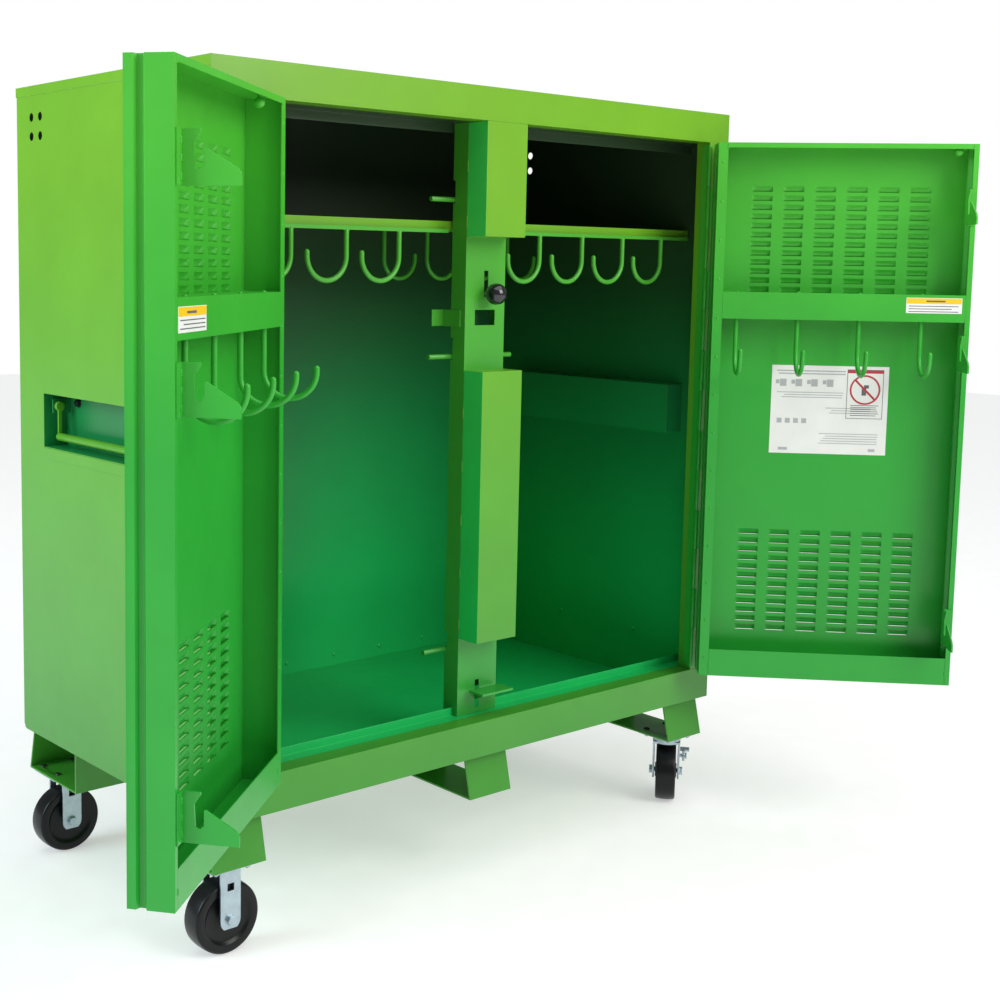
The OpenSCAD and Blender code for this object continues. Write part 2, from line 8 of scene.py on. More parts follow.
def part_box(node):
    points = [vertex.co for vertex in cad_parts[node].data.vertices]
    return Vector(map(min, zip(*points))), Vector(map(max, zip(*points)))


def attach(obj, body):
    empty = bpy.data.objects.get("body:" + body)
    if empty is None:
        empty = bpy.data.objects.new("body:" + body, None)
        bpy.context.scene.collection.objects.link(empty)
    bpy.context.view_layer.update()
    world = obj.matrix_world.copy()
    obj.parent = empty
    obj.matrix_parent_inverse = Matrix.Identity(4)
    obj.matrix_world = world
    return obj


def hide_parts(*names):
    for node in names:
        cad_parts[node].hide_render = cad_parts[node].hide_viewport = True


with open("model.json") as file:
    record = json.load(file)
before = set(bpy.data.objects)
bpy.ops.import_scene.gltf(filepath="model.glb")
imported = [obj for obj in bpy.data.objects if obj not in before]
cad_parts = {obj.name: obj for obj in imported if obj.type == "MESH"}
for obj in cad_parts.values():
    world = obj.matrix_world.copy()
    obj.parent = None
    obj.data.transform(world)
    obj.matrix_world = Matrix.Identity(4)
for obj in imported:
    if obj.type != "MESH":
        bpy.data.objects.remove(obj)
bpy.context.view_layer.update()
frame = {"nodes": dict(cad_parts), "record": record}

MM = 0.001

# ---------------------------------------------------------------- sizes from the frame

RECORD = frame["record"]
JOINTS = {j["name"]: j for j in RECORD["behaviour"]["joints"]}
HALF_W, BACK_Y, TOP_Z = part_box("roof_pan")[1]
FRONT_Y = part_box("front_header")[0][1]
UNDER_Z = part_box("front_sill")[0][2]
DOOR_Z0, DOOR_Z1 = (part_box("left_door_skin")[i][2] for i in (0, 1))

DOOR_SHEET = 2.5 * MM
DOOR_T = 80 * MM
DOOR_U0 = 12 * MM
DOOR_U1 = 619.5 * MM
HOOK_R = 5.5 * MM
BEND_R = 51 * MM

# where the inside of the body begins, measured in from its outline, for the painted shade inside
SKIN = 2.2 * MM
PAN_HALF = 1 * MM
HEADER_DEEP = 45 * MM


# ---------------------------------------------------------------- mesh helpers

def obj_from(name, verts, faces, material, smooth_angle=35.0, place=None):
    """A mesh object; place is a 4x4 that may mirror."""
    if place:
        verts, faces = moved((verts, faces), place)
    mesh = bpy.data.meshes.new(name)
    mesh.from_pydata(verts, [], faces)
    mesh.validate()
    mesh.materials.append(material)
    mesh.shade_smooth()
    mesh.set_sharp_from_angle(angle=math.radians(smooth_angle))
    obj = bpy.data.objects.new(name, mesh)
    bpy.context.scene.collection.objects.link(obj)
    return obj


def piece(obj, body, slot, *nodes):
    """Ties a finished object to its body and hides the CAD nodes that it stands for; its slot is not
    used.
    """
    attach(obj, body)
    if nodes:
        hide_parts(*nodes)


def merged(parts):
    """One (verts, faces) pair out of several."""
    verts, faces = [], []
    for part_verts, part_faces in parts:
        start = len(verts)
        verts += [tuple(v) for v in part_verts]
        faces += [tuple(i + start for i in f) for f in part_faces]
    return verts, faces


def moved(part, matrix):
    """A (verts, faces) pair taken through a matrix, turned inside out if the matrix mirrors."""
    verts, faces = part
    if matrix.determinant() < 0:
        faces = [tuple(reversed(f)) for f in faces]
    return [tuple(matrix @ Vector(v)) for v in verts], faces


def lathe(profile, steps):
    """(verts, faces) of a profile of (radius, height) turned about Z; zero radii close it."""
    verts, faces, rings = [], [], []
    for radius, height in profile:
        if radius < 1e-7:
            rings.append([len(verts)] * steps)
            verts.append((0.0, 0.0, height))
            continue
        rings.append(list(range(len(verts), len(verts) + steps)))
        for i in range(steps):
            a = 2 * math.pi * i / steps
            verts.append((radius * math.cos(a), radius * math.sin(a), height))
    for low, high in zip(rings, rings[1:]):
        for i in range(steps):
            k = (i + 1) % steps
            face = []
            for v in (low[i], low[k], high[k], high[i]):
                if v not in face:
                    face.append(v)
            if len(face) > 2:
                faces.append(tuple(face))
    return verts, faces


def tube(path, radius, steps=20, rounds=5):
    """(verts, faces) of a round rod along a path of points, with domed ends."""
    points = [Vector(p) for p in path]
    tangents = []
    for i in range(len(points)):
        a = points[max(i - 1, 0)]
        b = points[min(i + 1, len(points) - 1)]
        tangents.append((b - a).normalized())
    side = tangents[0].orthogonal().normalized()
    rings = []

    def ring(centre, tangent, r):
        up = tangent.cross(side).normalized()
        return [centre + r * (math.cos(a) * side + math.sin(a) * up)
                for a in (2 * math.pi * i / steps for i in range(steps))]

    for i in range(rounds):
        a = math.pi / 2 * i / rounds
        shift = -radius * math.cos(a) * tangents[0]
        rings.append(ring(points[0] + shift, tangents[0], max(radius * math.sin(a), 1e-5)))
    for centre, tangent in zip(points, tangents):
        side = (side - side.dot(tangent) * tangent).normalized()
        rings.append(ring(centre, tangent, radius))
    for i in range(1, rounds + 1):
        a = math.pi / 2 * i / rounds
        shift = radius * math.sin(a) * tangents[-1]
        rings.append(ring(points[-1] + shift, tangents[-1], max(radius * math.cos(a), 1e-5)))
    verts = [tuple(v) for r in rings for v in r]
    faces = [tuple(reversed(range(steps)))]
    for j in range(len(rings) - 1):
        for i in range(steps):
            k = (i + 1) % steps
            faces.append((j * steps + i, j * steps + k, (j + 1) * steps + k, (j + 1) * steps + i))
    last = (len(rings) - 1) * steps
    faces.append(tuple(range(last, last + steps)))
    return verts, faces


def prism(outline, low, high):
    """(verts, faces) of a flat outline in XY raised from z low to z high, counter-clockwise."""
    n = len(outline)
    verts = [(x, y, low) for x, y in outline] + [(x, y, high) for x, y in outline]
    faces = [tuple(reversed(range(n))), tuple(range(n, 2 * n))]
    for i in range(n):
        k = (i + 1) % n
        faces.append((i, k, n + k, n + i))
    return verts, faces


def block(lo, hi):
    """(verts, faces) of a box between two corners."""
    return prism([(lo[0], lo[1]), (hi[0], lo[1]), (hi[0], hi[1]), (lo[0], hi[1])], lo[2], hi[2])


def circle(r, steps):
    """Points around a circle about the origin."""
    angles = [math.radians(360 * i / steps) for i in range(steps)]
    return [(r * math.cos(a), r * math.sin(a)) for a in angles]


def aim(at, axis):
    """A matrix that puts local Z on axis and the origin at a point."""
    turn = Vector((0, 0, 1)).rotation_difference(Vector(axis)).to_matrix().to_4x4()
    return Matrix.Translation(Vector(at)) @ turn


def hex_bolt(at, axis, height, washer):
    """Washer, chamfered hexagon and a short thread end, standing on a surface."""
    across = 13 * MM
    washer_t = 1.6 * MM
    thread_r = 3.6 * MM
    thread_top = height + 3.8 * MM
    r = across / 2 / math.cos(math.pi / 6)
    hexagon = [(r * math.cos(math.pi / 3 * i), r * math.sin(math.pi / 3 * i)) for i in range(6)]
    small = [(x * 0.88, y * 0.88) for x, y in hexagon]
    ring = lathe([(0, 0), (washer, 0), (washer, 1.4 * MM), (washer * 0.6, washer_t), (0, washer_t)],
                 28)
    cap_verts = [(x, y, height) for x, y in hexagon] + [(x, y, height + 1 * MM) for x, y in small]
    cap_faces = [(i, (i + 1) % 6, 6 + (i + 1) % 6, 6 + i) for i in range(6)] + [tuple(range(6, 12))]
    end = lathe([(thread_r, height), (thread_r, height + 3 * MM), (2.9 * MM, thread_top),
                 (0, thread_top)], 20)
    return moved(merged([ring, prism(hexagon, washer_t, height), (cap_verts, cap_faces), end]),
                 aim(at, axis))


def rivet(at, axis, r, h):
    """A low domed head."""
    profile = [(r, 0)] + [(r * math.cos(a), h * math.sin(a))
                          for a in (math.pi / 2 * i / 6 for i in range(1, 7))]
    profile[-1] = (0, h)
    return moved(lathe(profile, 20), aim(at, axis))


def weld(start, end, r):
    """A rippled weld bead between two points, half sunk in the corner."""
    start, end = Vector(start), Vector(end)
    ripple = 1.3 * MM
    count = max(int((end - start).length / ripple), 4)
    axis = (end - start).normalized()
    side = axis.orthogonal().normalized()
    up = axis.cross(side)
    steps = 8
    verts, faces = [], []
    for j in range(count + 1):
        t = j / count
        taper = min(1.0, 8 * t + 0.25, 8 * (1 - t) + 0.25)
        rr = r * taper * (1 + 0.16 * math.sin(j * 2.1))
        centre = start.lerp(end, t)
        for i in range(steps):
            a = 2 * math.pi * i / steps
            verts.append(tuple(centre + rr * (math.cos(a) * side + math.sin(a) * up)))
    for j in range(count):
        for i in range(steps):
            k = (i + 1) % steps
            faces.append((j * steps + i, j * steps + k, (j + 1) * steps + k, (j + 1) * steps + i))
    faces.append(tuple(reversed(range(steps))))
    faces.append(tuple(range(count * steps, count * steps + steps)))
    return verts, faces


def soften(obj, width, segments):
    """Rounds the edges of a folded sheet piece."""
    joined = obj.modifiers.new("weld", "WELD")
    joined.merge_threshold = 0.02 * MM
    bevel = obj.modifiers.new("bevel", "BEVEL")
    bevel.width = width
    bevel.segments = segments
    bevel.limit_method = "ANGLE"
    bevel.angle_limit = math.radians(30)
    bevel.harden_normals = True


def dress(node, material, width=0.0, segments=2):
    """A CAD node that stays: its material and, given a width, softened edges."""
    obj = frame["nodes"][node]
    if not obj.material_slots:
        obj.data.materials.append(material)
    for material_slot in obj.material_slots:
        material_slot.material = material
    if width:
        soften(obj, width, segments)


# ---------------------------------------------------------------- materials

# Every tone ramp by height is painted light and shade for how light falls at each height.
TONE_SPAN = 2.0  # the height in metres that a tone ramp runs over


class Nodes:
    """Short names for building one material's node tree."""

    def __init__(self, name):
        self.material = bpy.data.materials.new(name)
        self.material.use_nodes = True
        self.tree = self.material.node_tree
        self.shader = self.tree.nodes["Principled BSDF"]
        coords = self.tree.nodes.new("ShaderNodeTexCoord")
        self.place = coords.outputs["Object"]

    def set(self, **values):
        for name, value in values.items():
            self.shader.inputs[name.replace("_", " ")].default_value = value

    def noise(self, scale, detail=3.0, roughness=0.55, stretch=None):
        source = self.place
        if stretch:
            mapping = self.tree.nodes.new("ShaderNodeMapping")
            mapping.inputs["Scale"].default_value = stretch
            self.tree.links.new(self.place, mapping.inputs["Vector"])
            source = mapping.outputs["Vector"]
        node = self.tree.nodes.new("ShaderNodeTexNoise")
        node.inputs["Scale"].default_value = scale
        node.inputs["Detail"].default_value = detail
        node.inputs["Roughness"].default_value = roughness
        self.tree.links.new(source, node.inputs["Vector"])
        return node.outputs["Fac"]

    def ramp(self, value, stops):
        node = self.tree.nodes.new("ShaderNodeValToRGB")
        ramp = node.color_ramp
        while len(ramp.elements) < len(stops):
            ramp.elements.new(0.5)
        for element, (position, colour) in zip(ramp.elements, stops):
            element.position = position
            element.color = (*colour, 1.0)
        self.tree.links.new(value, node.inputs["Fac"])
        return node.outputs["Color"]

    def calc(self, operation, *values):
        """A Math node's result; each value is a number or a socket."""
        node = self.tree.nodes.new("ShaderNodeMath")
        node.operation = operation
        for socket, value in zip(node.inputs, values):
            if isinstance(value, float):
                socket.default_value = value
            else:
                self.tree.links.new(value, socket)
        return node.outputs[0]

    def split(self, vector):
        """The X, Y and Z sockets of a vector."""
        node = self.tree.nodes.new("ShaderNodeSeparateXYZ")
        self.tree.links.new(vector, node.inputs[0])
        return node.outputs

    def painted_shade_by_height(self, tones):
        """A colour that follows height, painted light and shade for how light falls at each height;
        tones are (metres, colour) from low to high.
        """
        level = self.calc("DIVIDE", self.split(self.place)[2], TONE_SPAN)
        return self.ramp(level, [(z / TONE_SPAN, colour) for z, colour in tones])

    def clouded(self, tone):
        """The same tone, a little lighter and darker in broad clouds."""
        cloud = self.ramp(self.noise(5.0, 4.0), [(0.3, (0.95, 0.95, 0.95)), (0.7, (1.05, 1.05, 1.05))])
        node = self.tree.nodes.new("ShaderNodeMix")
        node.data_type = "RGBA"
        node.blend_type = "MULTIPLY"
        node.inputs[0].default_value = 1.0
        self.tree.links.new(tone, node.inputs[6])
        self.tree.links.new(cloud, node.inputs[7])
        return node.outputs[2]

    def mix(self, factor, a, b):
        node = self.tree.nodes.new("ShaderNodeMix")
        node.data_type = "RGBA"
        for socket, value in ((node.inputs[0], factor), (node.inputs[6], a), (node.inputs[7], b)):
            if isinstance(value, (tuple, float)):
                socket.default_value = (*value, 1.0) if isinstance(value, tuple) else value
            else:
                self.tree.links.new(value, socket)
        return node.outputs[2]

    def colour(self, value):
        self.tree.links.new(value, self.shader.inputs["Base Color"])

    def rough(self, value, low, high):
        node = self.tree.nodes.new("ShaderNodeMapRange")
        node.inputs["To Min"].default_value = low
        node.inputs["To Max"].default_value = high
        self.tree.links.new(value, node.inputs["Value"])
        self.tree.links.new(node.outputs["Result"], self.shader.inputs["Roughness"])

    def bump(self, layers):
        """Bump from several (height, distance, strength) layers."""
        normal = None
        for height, distance, strength in layers:
            node = self.tree.nodes.new("ShaderNodeBump")
            node.inputs["Distance"].default_value = distance
            node.inputs["Strength"].default_value = strength
            self.tree.links.new(height, node.inputs["Height"])
            if normal:
                self.tree.links.new(normal, node.inputs["Normal"])
            normal = node.outputs["Normal"]
        self.tree.links.new(normal, self.shader.inputs["Normal"])


def shade(colour, factor):
    return tuple(c * factor for c in colour)


def finish_coat(m, rough=(0.3, 0.42)):
    """Roughness, orange peel and clear layer that every green part shares."""
    m.rough(m.noise(26.0, 4.0), *rough)
    m.bump([(m.noise(420.0, 2.0), 0.00012, 0.35), (m.noise(1500.0, 2.0), 0.00003, 0.3)])
    m.set(Coat_Weight=0.1, Coat_Roughness=0.15, IOR=1.45)
    return m.material


def powder_coat(name, tones, rough=(0.3, 0.42)):
    """Smooth powder coat whose tone follows height as painted shade; tones are (metres, colour)."""
    m = Nodes(name)
    m.colour(m.clouded(m.painted_shade_by_height(tones)))
    return finish_coat(m, rough)


def paint_with_inside_shade(name, outside, inside):
    """Powder coat whose tone follows the side of the sheet: painted shade, a deeper green, inside the
    cabinet where little light reaches.
    """
    m = Nodes(name)
    x, y, z = m.split(m.place)
    tests = [m.calc("LESS_THAN", m.calc("ABSOLUTE", x), HALF_W - SKIN),
             m.calc("LESS_THAN", y, BACK_Y - SKIN),
             m.calc("GREATER_THAN", y, FRONT_Y + HEADER_DEEP),
             m.calc("GREATER_THAN", z, UNDER_Z + PAN_HALF),
             m.calc("LESS_THAN", z, TOP_Z - PAN_HALF)]
    # inner is the mask of the painted shade inside the body.
    inner = tests[0]
    for test in tests[1:]:
        inner = m.calc("MULTIPLY", inner, test)
    m.colour(m.clouded(m.mix(inner, m.painted_shade_by_height(outside), m.painted_shade_by_height(inside))))
    return finish_coat(m)


def paint_lit_by_face(name, front, side):
    """Powder coat with one tone on faces that look along Y and another on those along X: painted light
    and shade for how the lamps fall on each face.
    """
    m = Nodes(name)
    coords = m.tree.nodes.new("ShaderNodeTexCoord")
    side_lit = m.calc("ABSOLUTE", m.split(coords.outputs["Normal"])[0])
    m.colour(m.clouded(m.mix(side_lit, m.painted_shade_by_height(front), m.painted_shade_by_height(side))))
    return finish_coat(m)


def zinc_plate(name, colour=(0.44, 0.52, 0.58), rough=(0.22, 0.4)):
    """Bright zinc over rolled steel: faint lighter and darker clouds and a fine drawn grain."""
    m = Nodes(name)
    cloud = m.noise(38.0, 5.0, 0.6)
    grain = m.noise(90.0, 4.0, 0.6, (1.0, 1.0, 16.0))
    tint = m.ramp(cloud, [(0.25, shade(colour, 0.8)), (0.55, colour), (0.8, shade(colour, 1.12))])
    m.colour(tint)
    m.rough(grain, *rough)
    m.bump([(grain, 0.00005, 0.4), (m.noise(700.0), 0.00002, 0.3)])
    m.set(Metallic=0.9)
    return m.material


def phenolic(name):
    """Moulded black wheel: dull, faintly speckled, scuffed in scattered patches."""
    m = Nodes(name)
    speck = m.noise(900.0, 2.0)
    scuff = m.noise(60.0, 6.0, 0.7)
    base = m.ramp(speck, [(0.35, (0.004, 0.004, 0.005)), (0.75, (0.009, 0.009, 0.01))])
    dust = m.ramp(scuff, [(0.55, (0, 0, 0)), (0.85, (0.5, 0.5, 0.5))])
    m.colour(m.mix(dust, base, (0.02, 0.019, 0.018)))
    m.rough(scuff, 0.22, 0.4)
    m.bump([(m.noise(320.0, 3.0), 0.0001, 0.35)])
    m.set(IOR=1.33)
    return m.material


def moulded(name, colour, rough, coat=0.0):
    """Plain moulded plastic or printed vinyl with a faint mottle."""
    m = Nodes(name)
    m.colour(m.ramp(m.noise(14.0, 4.0), [(0.3, shade(colour, 0.95)), (0.7, shade(colour, 1.03))]))
    m.rough(m.noise(80.0, 4.0), rough, rough + 0.1)
    m.bump([(m.noise(500.0, 2.0), 0.00004, 0.25)])
    m.set(Coat_Weight=coat)
    return m.material


# Outside tones: painted shade, darker low down and lighter near the top, for how light falls with
# height.
OUTSIDE_PAINTED_SHADE = [(0.3, (0.045, 0.26, 0.022)), (0.9, (0.09, 0.35, 0.022)), (1.6, (0.16, 0.4, 0.015))]
# Door tones: a darker, bluer copy of the same green as painted shade, darker low down and lighter near
# the top.
DOOR_PAINTED_SHADE = [(0.5, (0.016, 0.33, 0.03)), (1.1, (0.022, 0.36, 0.03)), (1.6, (0.07, 0.46, 0.034))]
# Inside tones: painted shade, darker higher up under the header and darkest above the shelves, for the
# shadow inside the cabinet.
INSIDE_PAINTED_SHADE = [(0.55, (0.008, 0.44, 0.1)), (1.0, (0.008, 0.24, 0.06)), (1.35, (0.018, 0.08, 0.024)),
          (1.52, (0.03, 0.062, 0.026))]
# Post tones: a shaded copy of the same green as painted shade, darker low down and lighter near the
# top.
POST_PAINTED_SHADE = [(0.4, (0.03, 0.32, 0.04)), (1.5, (0.07, 0.37, 0.028))]
# Cover side tones: painted light for the cover faces that look along X, lit otherwise than the front
# faces.
COVER_SIDE_PAINTED_LIGHT = [(0.5, (0.014, 0.56, 0.1)), (1.5, (0.07, 0.78, 0.12))]
PAINT = powder_coat("green_powder_coat", OUTSIDE_PAINTED_SHADE)
PAINT_DOOR_SHADE = powder_coat("green_powder_coat_door_painted_shade", DOOR_PAINTED_SHADE)
PAINT_IN_SHADE = powder_coat("green_powder_coat_inside_painted_shade", INSIDE_PAINTED_SHADE, (0.34, 0.46))
PAINT_MID_SHADE = powder_coat("green_powder_coat_post_painted_shade", POST_PAINTED_SHADE)
PAINT_BODY_INSIDE_SHADE = paint_with_inside_shade("green_powder_coat_body_painted_inside_shade", OUTSIDE_PAINTED_SHADE, INSIDE_PAINTED_SHADE)
PAINT_COVER_FACE_LIGHT = paint_lit_by_face("green_powder_coat_cover_painted_face_light", OUTSIDE_PAINTED_SHADE, COVER_SIDE_PAINTED_LIGHT)
ZINC = zinc_plate("bright_zinc")
STEEL = zinc_plate("turned_steel", (0.5, 0.5, 0.52), (0.18, 0.3))
WHEEL = phenolic("black_phenolic")
DARK_STEEL = zinc_plate("dark_steel", (0.05, 0.06, 0.055), (0.3, 0.45))
KNOB = moulded("black_knob", (0.012, 0.01, 0.016), 0.12, 0.5)
VINYL = moulded("white_vinyl", (0.82, 0.82, 0.8), 0.4)
YELLOW = moulded("yellow_print", (0.9, 0.55, 0.01), 0.4)
INK = moulded("grey_print", (0.12, 0.12, 0.13), 0.5)
PALE_INK = moulded("pale_grey_print", (0.42, 0.43, 0.45), 0.5)
RED = moulded("red_print", (0.5, 0.03, 0.05), 0.45)


# ---------------------------------------------------------------- doors, in door axes (u, n, z)

def door_place(side):
    """World matrix of door axes: u from the hinge to the free edge, n inward, z up."""
    hinge = JOINTS[f"{side}_door_hinge"]
    x, y, _ = hinge["pos_m"]
    opened = math.radians(max(abs(v) for v in hinge["range_deg"]))
    place = Matrix.Translation((-abs(x), y, 0)) @ Matrix.Rotation(-opened, 4, "Z")
    if side == "right":
        place = Matrix.Scale(-1, 4, (1, 0, 0)) @ place
    return place


PLACE = {side: door_place(side) for side in ("left", "right")}
LOUVRE_U = [(105 + 75.6 * i) * MM for i in range(6)]
LOUVRE_W = 50 * MM
LOUVRE_ROWS = 12
LOUVRE_PITCH = 22.3 * MM
LOUVRE_TOPS = (1599 * MM, 746 * MM)
LOUVRE_H = 14 * MM
LOUVRE_DEEP = 7 * MM
HOOK_U = [(72 + 146.3 * i) * MM for i in range(4)]
HOOK_N = 58 * MM
CHANNEL_Z = (1275 * MM, 1340 * MM)


def louvred_skin(side):
    """One sheet with every louvre pressed outward and slit along its lower edge."""
    ends = [0.0, 0.03, 0.09, 0.18, 0.32]
    across = ends + [0.5] + [1 - e for e in reversed(ends)]
    down = [0.0, 0.1, 0.25, 0.45, 0.7, 1.0]

    def dip(a, t):
        """Depth of the dish at a across and t down, both 0 to 1."""
        edge = min(a, 1 - a) / 0.18
        rounded = 1.0 if edge >= 1 else math.sqrt(max(0.0, 1 - (1 - edge) ** 2))
        return LOUVRE_DEEP * rounded * math.sin(math.pi / 2 * min(1.0, t * 1.35))

    columns = [(DOOR_U0, None)]
    for start in LOUVRE_U:
        columns += [(start + a * LOUVRE_W, a) for a in across]
    columns.append((DOOR_U1, None))
    rows = [(DOOR_Z1, None)]
    for top in LOUVRE_TOPS:
        for r in range(LOUVRE_ROWS):
            rows += [(top - r * LOUVRE_PITCH - t * LOUVRE_H, t) for t in down]
    rows.append((DOOR_Z0, None))
    verts, faces, index = [], [], {}

    def vert(i, j, dished):
        u, a = columns[i]
        z, t = rows[j]
        depth = dip(a, t) if dished and a is not None and t is not None else 0.0
        key = (i, j, depth > 1e-9)
        if key not in index:
            index[key] = len(verts)
            verts.append((u, DOOR_SHEET - depth, z))
        return index[key]

    for j in range(len(rows) - 1):
        in_row = rows[j][1] is not None and rows[j + 1][1] is not None and rows[j][1] < 1.0
        for i in range(len(columns) - 1):
            in_col = columns[i][1] is not None and columns[i + 1][1] is not None
            in_col = in_col and columns[i][1] < 1.0
            dished = in_row and in_col
            faces.append((vert(i, j, dished), vert(i, j + 1, dished),
                          vert(i + 1, j + 1, dished), vert(i + 1, j, dished)))
    faces = [tuple(dict.fromkeys(f)) for f in faces]
    obj = obj_from(f"{side}_louvred_skin", verts, faces, PAINT_DOOR_SHADE, 60, PLACE[side])
    for polygon, face in zip(obj.data.polygons, faces):
        polygon.use_smooth = any(verts[i][1] < DOOR_SHEET for i in face)
    solid = obj.modifiers.new("thickness", "SOLIDIFY")
    solid.thickness = DOOR_SHEET
    solid.offset = 1.0
    return obj


def bend_path(start, drop, toward, r, rise):
    """Points of a hook: down from start by drop, round a half circle toward a side, up by rise."""
    start = Vector(start)
    toward = Vector(toward)
    points = [start, start - Vector((0, 0, drop * 0.5)), start - Vector((0, 0, drop - 4 * MM))]
    centre = start - Vector((0, 0, drop)) + toward * r
    steps = 24
    for i in range(steps + 1):
        a = math.pi * i / steps
        points.append(centre - toward * r * math.cos(a) - Vector((0, 0, r * math.sin(a))))
    points.append(points[-1] + Vector((0, 0, rise)))
    return points


def door_hooks(side):
    """Four cord hooks welded under the top of the channel."""
    top = CHANNEL_Z[1] - DOOR_SHEET
    bend_z = 1195 * MM
    parts = []
    for u in HOOK_U:
        path = bend_path((u, HOOK_N, top), top - bend_z, (0, 1, 0), BEND_R, 6 * MM)
        parts.append(tube(path, HOOK_R))
        for n in (-HOOK_R, HOOK_R):
            parts.append(weld((u - 5 * MM, HOOK_N + n, top), (u + 5 * MM, HOOK_N + n, top), 1.8 * MM))
    return obj_from(f"{side}_cord_hooks", *merged(parts), PAINT_DOOR_SHADE, 60, PLACE[side])


def print_patch(name, side, slot, material, n, boxes):
    """Several printed patches in one piece; boxes are (u0, z0, u1, z1)."""
    ink_t = 0.12 * MM
    parts = [block((u0, n, z0), (u1, n + ink_t, z1)) for u0, z0, u1, z1 in boxes]
    piece(obj_from(name, *merged(parts), material, 30, PLACE[side]), f"{side}_door", slot)


def placard(side, u0, u1, z0, z1):
    """Placard on the channel: a yellow band over a pale field with plain grey bars."""
    n = DOOR_T + 0.5 * MM
    band = z0 + (z1 - z0) * 0.62
    wide = u1 - u0
    print_patch(f"{side}_placard_band", side, "label", YELLOW, n,
                [(u0 + 1 * MM, band, u1 - 1 * MM, z1 - 1 * MM)])
    bars = [(u0 + wide * 0.36, band + 4 * MM, u1 - wide * 0.3, band + 8 * MM)]
    for i in range(3):
        z = band - (5 + 6.5 * i) * MM
        bars.append((u0 + 6 * MM, z - 1.8 * MM, u1 - (8 + 16 * (i % 2)) * MM, z))
    print_patch(f"{side}_placard_bars", side, "label", INK, n + 0.02 * MM, bars)


def text_rows(u0, u1, z_top, count, pitch, height, ragged):
    """Bars that stand for rows of print, each a little shorter or longer."""
    rows = []
    for i in range(count):
        z = z_top - i * pitch
        rows.append((u0 + ragged * ((i * 7) % 5) / 5 * 0.15, z - height,
                     u1 - ragged * ((i * 3) % 4) / 4, z))
    return rows


def instruction_sheet():
    """Plain rows and picture boxes, with a red-banded panel that holds a crossed ring."""
    side = "right"

    def turned(boxes):
        """The same boxes counted from the free edge of the sheet."""
        return [(u0 + u1 - c, b, u0 + u1 - a, d) for a, b, c, d in boxes]

    n = DOOR_SHEET + 0.5 * MM
    u0, u1, z0, z1 = 172 * MM, 455 * MM, 940 * MM, 1160 * MM
    rows = text_rows(u0 + 104 * MM, u1 - 12 * MM, z1 - 12 * MM, 2, 7 * MM, 3 * MM, 6 * MM)
    rows += text_rows(u0 + 108 * MM, u1 - 14 * MM, z1 - 66 * MM, 3, 6 * MM, 2 * MM, 24 * MM)
    rows += text_rows(u0 + 20 * MM, u1 - 120 * MM, z0 + 52 * MM, 5, 6 * MM, 2 * MM, 20 * MM)
    rows += text_rows(u0 + 40 * MM, u0 + 150 * MM, z1 - 104 * MM, 3, 6 * MM, 2 * MM, 20 * MM)
    print_patch("sheet_rows", side, "sheet", PALE_INK, n, turned(rows))
    drawings = []
    for i in range(4):
        u = u1 - (36 + 38 * i) * MM
        drawings.append((u, z1 - 52 * MM, u + 16 * MM, z1 - 34 * MM))
        drawings.append((u + 17 * MM, z1 - 46 * MM, u + 26 * MM, z1 - 36 * MM))
    for i in range(4):
        u = u1 - (28 + 20 * i) * MM
        drawings.append((u, z0 + 76 * MM, u + 12 * MM, z0 + 88 * MM))
    drawings.append((u0 + 26 * MM, z0 + 8 * MM, u0 + 42 * MM, z0 + 15 * MM))
    drawings.append((u1 - 44 * MM, z0 + 8 * MM, u1 - 22 * MM, z0 + 15 * MM))
    print_patch("sheet_drawings", side, "sheet", PALE_INK, n + 0.02 * MM, turned(drawings))
    box = (u1 - 100 * MM, z1 - 130 * MM, u1 - 12 * MM, z1 - 8 * MM)
    frame_w = 1.4 * MM
    outline = [(box[0], box[1], box[2], box[1] + frame_w), (box[0], box[1], box[0] + frame_w, box[3]),
               (box[2] - frame_w, box[1], box[2], box[3]),
               (box[0], box[3] - frame_w, box[2], box[3])]
    outline += text_rows(box[0] + 10 * MM, box[2] - 10 * MM, box[1] + 34 * MM, 6, 5 * MM, 1.6 * MM,
                         8 * MM)
    print_patch("sheet_panel_lines", side, "sheet", INK, n + 0.03 * MM, outline)
    print_patch("sheet_panel_band", side, "sheet", RED, n + 0.02 * MM,
                [(box[0] + 1 * MM, box[3] - 9 * MM, box[2] - 1 * MM, box[3] - 1 * MM)])
    centre_u = (box[0] + box[2]) / 2
    centre_z = box[3] - 50 * MM
    outer, inner, bar_r = 37 * MM, 32.5 * MM, 36 * MM
    steps = 48
    ring, hole = circle(outer, steps), circle(inner, steps)
    verts = [(centre_u + x, n + 0.15 * MM, centre_z + z) for x, z in ring + hole]
    faces = [(i, steps + i, steps + (i + 1) % steps, (i + 1) % steps) for i in range(steps)]
    bar = [(-0.7, 0.6), (-0.6, 0.7), (0.7, -0.6), (0.6, -0.7)]
    verts += [(centre_u + x * bar_r, n + 0.16 * MM, centre_z + z * bar_r) for x, z in bar]
    faces.append(tuple(range(2 * steps, 2 * steps + 4)))
    sign = obj_from("sheet_crossed_ring", verts, faces, RED, 30, PLACE[side])
    piece(sign, "right_door", "sheet")
    figure = [(centre_u - 8 * MM, centre_z - 14 * MM, centre_u + 3 * MM, centre_z + 6 * MM),
              (centre_u - 3 * MM, centre_z + 4 * MM, centre_u + 9 * MM, centre_z + 12 * MM)]
    print_patch("sheet_ring_figure", side, "sheet", INK, n + 0.02 * MM, figure)


